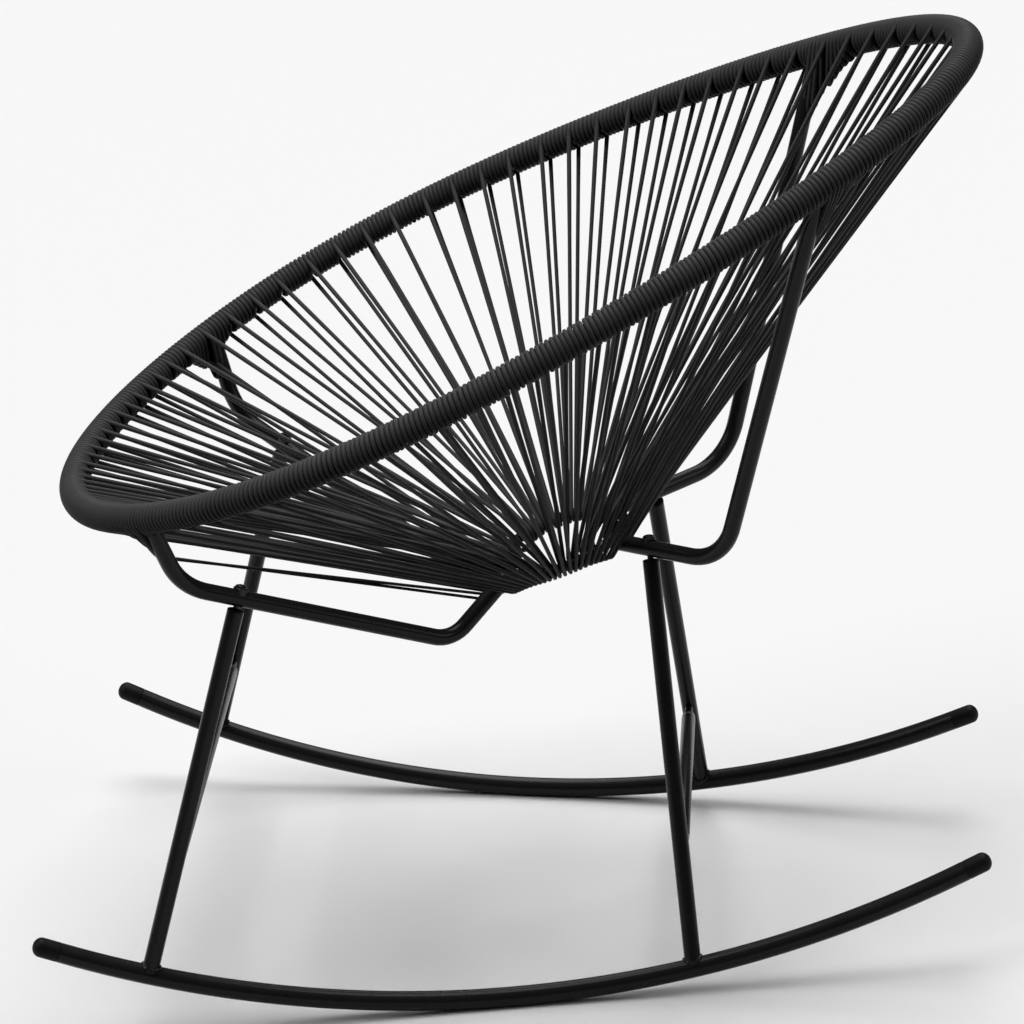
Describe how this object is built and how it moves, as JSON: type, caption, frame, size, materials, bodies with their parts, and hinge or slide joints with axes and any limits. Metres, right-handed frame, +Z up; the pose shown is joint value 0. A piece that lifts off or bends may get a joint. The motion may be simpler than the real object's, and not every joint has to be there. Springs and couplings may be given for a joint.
{
  "type": "rattan rocking chair",
  "caption": "Low rocking chair with an egg-shaped hoop and a small seat ring laced with round black cord into a bowl seat, on bent steel tube supports, splayed legs and curved rockers.",
  "frame": {"origin": "on the floor, at the middle of the chair's length and width, with the chair standing where it balances when empty", "axes": "+Z up, the sitter faces -Y, and the sitter's left is +X"},
  "size_m": [0.7184, 0.9086, 0.8789],
  "materials": {
    "frame": "satin black powder coat on steel tube",
    "cord": "satin black extruded polyethylene cord",
    "plugs": "matt black moulded plastic",
    "fasteners": "black oxide steel"
  },
  "bodies": {
    "root": {"rim_hoop": "frame", "seat_ring": "frame", "front_support_left": "frame", "front_support_right": "frame", "rear_support_left": "frame", "rear_support_right": "frame", "leg_front_left": "frame", "leg_front_right": "frame", "leg_rear_left": "frame", "leg_rear_right": "frame", "rocker_left": "frame", "rocker_right": "frame", "front_stretcher": "frame", "rear_stretcher": "frame", "rocker_cap_front_left": "plugs", "rocker_cap_front_right": "plugs", "rocker_cap_rear_left": "plugs", "rocker_cap_rear_right": "plugs", "leg_plug_front_left": "plugs", "leg_plug_front_right": "plugs", "leg_plug_rear_left": "plugs", "leg_plug_rear_right": "plugs", "seat_bolt_front_left": "fasteners", "seat_bolt_front_right": "fasteners", "seat_bolt_rear_left": "fasteners", "seat_bolt_rear_right": "fasteners", "saddle_washer_front_left": "fasteners", "saddle_washer_front_right": "fasteners", "saddle_washer_rear_left": "fasteners", "saddle_washer_rear_right": "fasteners", "stretcher_stud_front_left": "fasteners", "stretcher_stud_front_right": "fasteners", "stretcher_stud_rear_left": "fasteners", "stretcher_stud_rear_right": "fasteners", "stretcher_nut_front_left": "fasteners", "stretcher_nut_front_right": "fasteners", "stretcher_nut_rear_left": "fasteners", "stretcher_nut_rear_right": "fasteners", "stretcher_washer_front_left": "fasteners", "stretcher_washer_front_right": "fasteners", "stretcher_washer_rear_left": "fasteners", "stretcher_washer_rear_right": "fasteners", "cord_rear_1": "cord", "cord_rear_2": "cord", "cord_left_1": "cord", "cord_left_2": "cord", "cord_left_3": "cord", "cord_front_1": "cord", "cord_front_2": "cord", "cord_right_1": "cord", "cord_right_2": "cord", "cord_right_3": "cord"}
  },
  "joints": []
}
